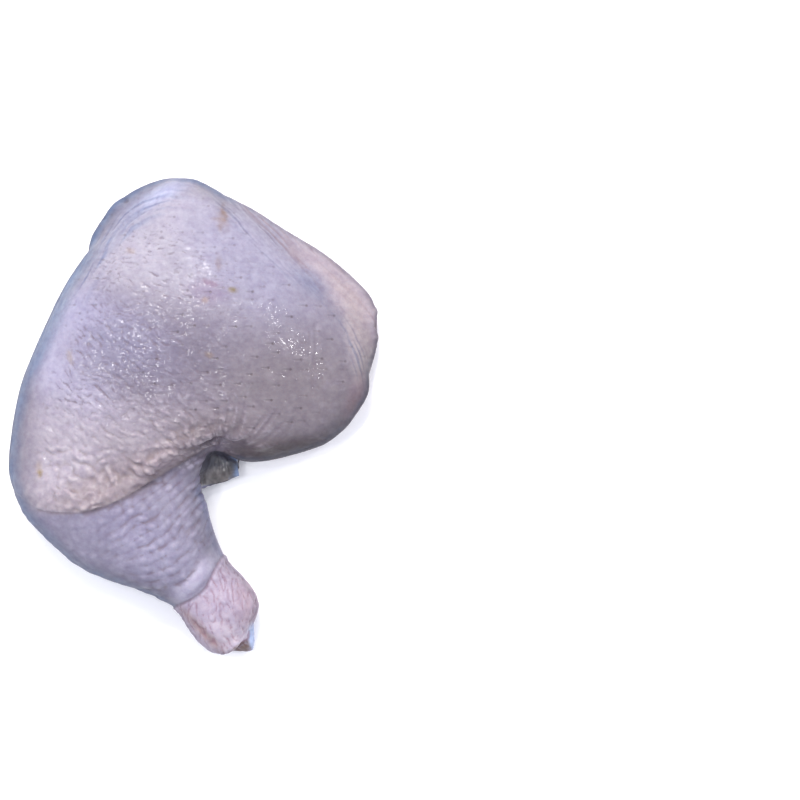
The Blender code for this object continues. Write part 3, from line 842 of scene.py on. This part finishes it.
def skinFinish():
    # Raw poultry skin: thin, moist and half clear, so light goes in and softens, and a wet film
    # glints on top.
    material, tree, shader = startFinish("raw poultry skin", skinLook["surface"])
    place = addNode(tree, "TexCoord").outputs["Object"]
    base = addNode(tree, "VertexColor", {"layer_name": "tint"}).outputs["Color"]
    pored = addNode(tree, "Attribute", {"attribute_name": "pores"}).outputs["Fac"]
    wet = addNode(tree, "Attribute", {"attribute_name": "wet"}).outputs["Fac"]
    wrinkled = addNode(tree, "Attribute", {"attribute_name": "grain"}).outputs["Fac"]

    # mottling
    cloud = addNode(tree, "TexNoise", inputs={
        "Vector": place, "Scale": 1 / (skinLook["mottleGrain"] * mm), "Detail": 5, "Roughness": 0.62})
    mottle = addNode(tree, "ValToRGB", inputs={"Fac": cloud.outputs["Fac"]})
    dark, pale = mottle.color_ramp.elements
    dark.position, dark.color = 0.33, (*hexToLinear(skinLook["mottleDark"]), 1)
    pale.position, pale.color = 0.66, (*hexToLinear(skinLook["mottlePale"]), 1)
    mottled = addNode(tree, "Mix", {"data_type": "RGBA", "blend_type": "MULTIPLY"},
                      {"Factor": skinLook["mottleShare"], 6: base, 7: mottle.outputs["Color"]}).outputs[2]

    # feather pores in staggered rows, some fainter than others
    split = addNode(tree, "SeparateXYZ", inputs={"Vector": place})
    row = addMath(tree, "MULTIPLY", split.outputs["Y"], 1 / (skinLook["rowStep"] * mm))
    step = addMath(tree, "MULTIPLY", split.outputs["X"], 1 / (skinLook["poreStep"] * mm))
    lean = addMath(tree, "MULTIPLY_ADD", row, skinLook["rowShift"], step)
    grid = addNode(tree, "CombineXYZ", inputs={"X": lean, "Y": row}).outputs[0]
    pore = addNode(tree, "TexVoronoi", {"voronoi_dimensions": "2D"},
                   {"Vector": grid, "Scale": 1.0, "Randomness": 0.7})
    luck = addNode(tree, "SeparateColor", inputs={"Color": pore.outputs["Color"]})
    chance = addNode(tree, "MapRange", inputs={"Value": luck.outputs[0], "From Min": 0.1, "From Max": 0.75})
    strength = addMath(tree, "MULTIPLY", chance.outputs["Result"], pored)

    # the way from each pore, back in mm and upright again
    away = addNode(tree, "VectorMath", {"operation": "SUBTRACT"}, {0: grid, 1: pore.outputs["Position"]})
    awaySplit = addNode(tree, "SeparateXYZ", inputs={"Vector": away.outputs[0]})
    side = addMath(tree, "MULTIPLY_ADD",
                   awaySplit.outputs["Y"], -skinLook["rowShift"], awaySplit.outputs["X"])
    upright = addNode(tree, "CombineXYZ", inputs={"X": side, "Y": awaySplit.outputs["Y"]})
    inMm = addNode(tree, "VectorMath", {"operation": "MULTIPLY"},
                   {0: upright.outputs[0], 1: (skinLook["poreStep"], skinLook["rowStep"], 0)})

    # each pore is a dark dot at the right end of a short level dimple
    spread = addNode(tree, "VectorMath", {"operation": "LENGTH"}, {0: inMm.outputs[0]})
    dot = addFade(tree, spread.outputs["Value"], *skinLook["poreReach"], skinLook["poreShade"])
    slid = addNode(tree, "VectorMath", {"operation": "ADD"},
                   {0: inMm.outputs[0], 1: (skinLook["dimpleShift"], 0, 0)})
    squashed = addNode(tree, "VectorMath", {"operation": "MULTIPLY"},
                       {0: slid.outputs[0], 1: (*skinLook["dimpleSquash"], 0)})
    reach = addNode(tree, "VectorMath", {"operation": "LENGTH"}, {0: squashed.outputs[0]})
    dimple = addFade(tree, reach.outputs["Value"], 0.1, 1.0, 1.0)
    # painted shade in the dimple, added to the pore's dark dot
    shade = addMath(tree, "MULTIPLY_ADD", dimple, skinLook["dimpleShade"], dot)
    darker = addMath(tree, "MULTIPLY", shade, strength)
    spotted = addNode(tree, "Mix", {"data_type": "RGBA"}, {
        "Factor": darker, 6: mottled, 7: (*hexToLinear(skinLook["poreTint"]), 1)}).outputs[2]
    tree.links.new(spotted, shader.inputs["Base Color"])

    # wet film: folds 2 to 4 mm long break the lamps' reflections into squiggles
    film = addNode(tree, "TexNoise", {"noise_type": "RIDGED_MULTIFRACTAL", "normalize": True}, {
        "Vector": place, "Scale": 1 / (skinLook["filmGrain"] * mm), "Detail": 1, "Roughness": 0.5,
        "Lacunarity": 2.1, "Distortion": 0.8})
    fine = addNode(tree, "TexNoise", inputs={
        "Vector": place, "Scale": 1 / (skinLook["fineGrain"] * mm), "Detail": 2, "Roughness": 0.5})
    waves = addNode(tree, "TexNoise", inputs={
        "Vector": place, "Scale": 1 / (skinLook["waveGrain"] * mm), "Detail": 1, "Roughness": 0.5,
        "Distortion": 0.4})
    long, short = 1 / (skinLook["wrinkleLong"] * mm), 1 / (skinLook["wrinkleShort"] * mm)
    slant = addNode(tree, "Mapping", inputs={
        "Vector": place, "Scale": (long, short, long),
        "Rotation": (0, 0, math.radians(skinLook["wrinkleTurn"]))})
    wrinkles = addNode(tree, "TexNoise", {"noise_type": "RIDGED_MULTIFRACTAL", "normalize": True}, {
        "Vector": slant.outputs[0], "Scale": 1.0, "Detail": 1, "Roughness": 0.5, "Distortion": 0.5})
    slanted = addMath(tree, "MULTIPLY", wrinkles.outputs["Fac"], wrinkled)
    height = addMath(tree, "MULTIPLY_ADD", fine.outputs["Fac"], skinLook["fineShare"], film.outputs["Fac"])
    height = addMath(tree, "MULTIPLY_ADD", waves.outputs["Fac"], skinLook["waveShare"], height)
    height = addMath(tree, "MULTIPLY_ADD", slanted, skinLook["wrinkleShare"], height)
    dotted = addMath(tree, "MULTIPLY", dot, strength)
    pit = addMath(tree, "MULTIPLY_ADD", dimple, skinLook["dimpleShare"], dotted)
    pits = addMath(tree, "MULTIPLY", pit, strength)
    height = addMath(tree, "MULTIPLY_ADD", pits, skinLook["pitShare"], height)
    for socket, (strong, high) in skinLook["bumps"].items():
        bump = addNode(tree, "Bump", inputs={"Height": height, "Strength": strong, "Distance": high * mm})
        tree.links.new(bump.outputs["Normal"], shader.inputs[socket])
    gloss = addNode(tree, "MapRange", inputs={"Value": wet, "To Min": 0.0, "To Max": 0.8})
    tree.links.new(gloss.outputs["Result"], shader.inputs["Coat Weight"])
    return material


print("leg tint and finish")
paintLeg(legSkin)
legSkin.data.materials.clear()
legSkin.data.materials.append(skinFinish())


# The thin web of skin in the notch behind the knee.

web = {
    # from the lower left, anticlockwise
    "corners": [(1.5, -29.9), (18.7, -25.6), (19.0, -15.0), (1.5, -11.0)],
    "steps": (44, 36),
    "edgeBow": 0.9,  # how far its free sides bow out
    "sideBow": 0.7,
    "beside": 7,  # its height where no skin is below
    "highest": 19,  # and the most where there is
    "lowest": 3.4,
    "crown": 5.2,  # of its middle over its lowest edge
    "calming": 14,
    "proud": 0.35,  # over the solid web below it
    "wrinkles": 0.7,
    "thickness": 0.9,
    "fanFrom": (9, -11),
    "dark": "#3b3a44",
    "yellow": "#66605d",
    "blue": "#6f86ab",
    "filmGrain": 2.38,
    "bump": 0.5,
    "surface": {
        "Roughness": 0.35, "IOR": 1.4, "Coat Weight": 0.8, "Coat Roughness": 0.08, "Coat IOR": 1.36,
        "Subsurface Weight": 0.2, "Subsurface Radius": (1.0, 0.7, 0.6), "Subsurface Scale": 2 * mm,
    },
}


def calmed(heights, times):
    for _ in range(times):
        padded = np.pad(heights, 1, mode="edge")
        heights = (padded[:-2, 1:-1] + padded[2:, 1:-1] + padded[1:-1, :-2] + padded[1:-1, 2:]) / 4
    return heights


def fanAt(points):  # angle and distance from where the web's wrinkles start
    out = points[:, :2] - web["fanFrom"]
    return np.arctan2(out[:, 1], out[:, 0]), np.hypot(out[:, 0], out[:, 1])


def webPlan(u, v):  # the four corners in plan, u from left to right, v from the free edge up
    low = np.array(web["corners"][0]) * (1 - u)[:, None] + np.array(web["corners"][1]) * u[:, None]
    high = np.array(web["corners"][3]) * (1 - u)[:, None] + np.array(web["corners"][2]) * u[:, None]
    plan = low * (1 - v)[:, None] + high * v[:, None]
    plan[:, 1] -= web["edgeBow"] * np.sin(math.pi * u) * (1 - v)  # the free edge bows out
    plan[:, 0] -= web["sideBow"] * np.sin(math.pi * v) * u ** 3
    return plan


def webHeights(plan, u, v):  # it lies on the leg's skin and climbs to the folds round it
    across, up = web["steps"]
    column, rank = np.round(u * across).astype(int), np.round(v * up).astype(int)
    heights = np.zeros((up + 1, across + 1))
    for k, (x, y) in enumerate(plan):
        hit, spot = legSkin.ray_cast((x * mm, y * mm, 60 * mm), (0, 0, -1))[:2]
        heights[rank[k], column[k]] = min(spot[2] / mm if hit else web["beside"], web["highest"])
    heights = calmed(heights, web["calming"])
    inner = np.zeros(heights.shape)
    inner[rank, column] = np.minimum(ease(v, 0, 0.3), ease(1 - u, 0, 0.2))
    heights = calmed(np.maximum(heights + web["proud"], web["lowest"] + web["crown"] * inner), 5)
    return heights[rank, column]


def makeWeb():
    deselectAll()
    bpy.ops.mesh.primitive_grid_add(x_subdivisions=web["steps"][0], y_subdivisions=web["steps"][1], size=1)
    sheet = bpy.context.object
    sheet.name = "notchWeb"
    u, v, _ = (readPoints(sheet) + 0.5).T
    plan = webPlan(u, v)
    points = np.column_stack((plan, webHeights(plan, u, v)))
    angle, far = fanAt(points)
    fan = swells(np.stack((angle * 5.5, far / 9, np.full(len(points), 3.1)), axis=1))
    points[:, 2] += web["wrinkles"] * np.abs(fan) + 0.3 * swells(points / 2.6)
    writePoints(sheet, points * mm)
    applyModifier(sheet, "SOLIDIFY", {"thickness": web["thickness"] * mm, "offset": -1})
    applyModifier(sheet, "SUBSURF", {"levels": 1, "render_levels": 1})
    bpy.ops.object.shade_smooth()
    return sheet


def paintWeb(sheet):  # rays of grey from the notch, a yellower patch, and a blue right edge
    points = readPoints(sheet) / mm
    angle, far = fanAt(points)
    wander = angle * 6 + 0.8 * swells(points / 4)
    rays = swells(np.stack((wander, far / 5, np.full(len(points), 5.2)), axis=1))
    toBlue = ease(points[:, 0] + 2.5 * rays, 14.4, 18.2) * (0.7 + 0.6 * rays).clip(0, 1)
    colours = np.tile(hexToLinear(web["dark"]), (len(points), 1))
    colours = mixInto(colours, web["yellow"], 0.8 * patchAt(points, 11, -26.5, 7, 4.5, 10, 0.6))
    colours = mixInto(colours, web["blue"], toBlue)
    uneven = (0.76 + 0.5 * rays + 0.5 * np.abs(swells(points / 1.9))).clip(0.4, 1.6)
    addTint(sheet, colours * uneven[:, None])


def webFinish():
    # Wet membrane: thin clear skin with no fat under it, dark where flesh is far below, and very glossy.
    material, tree, shader = startFinish("wet clear membrane", web["surface"])
    place = addNode(tree, "TexCoord").outputs["Object"]
    base = addNode(tree, "VertexColor", {"layer_name": "tint"}).outputs["Color"]
    film = addNode(tree, "TexNoise", {"noise_type": "RIDGED_MULTIFRACTAL", "normalize": True}, {
        "Vector": place, "Scale": 1 / (web["filmGrain"] * mm), "Detail": 2, "Roughness": 0.5,
        "Distortion": 0.8})
    bump = addNode(tree, "Bump", inputs={
        "Height": film.outputs["Fac"], "Strength": 0.6, "Distance": web["bump"] * mm})
    tree.links.new(base, shader.inputs["Base Color"])
    tree.links.new(bump.outputs["Normal"], shader.inputs["Normal"])
    tree.links.new(bump.outputs["Normal"], shader.inputs["Coat Normal"])
    return material


print("web in the notch")
notchWeb = makeWeb()
paintWeb(notchWeb)
notchWeb.data.materials.append(webFinish())
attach(notchWeb, "root")
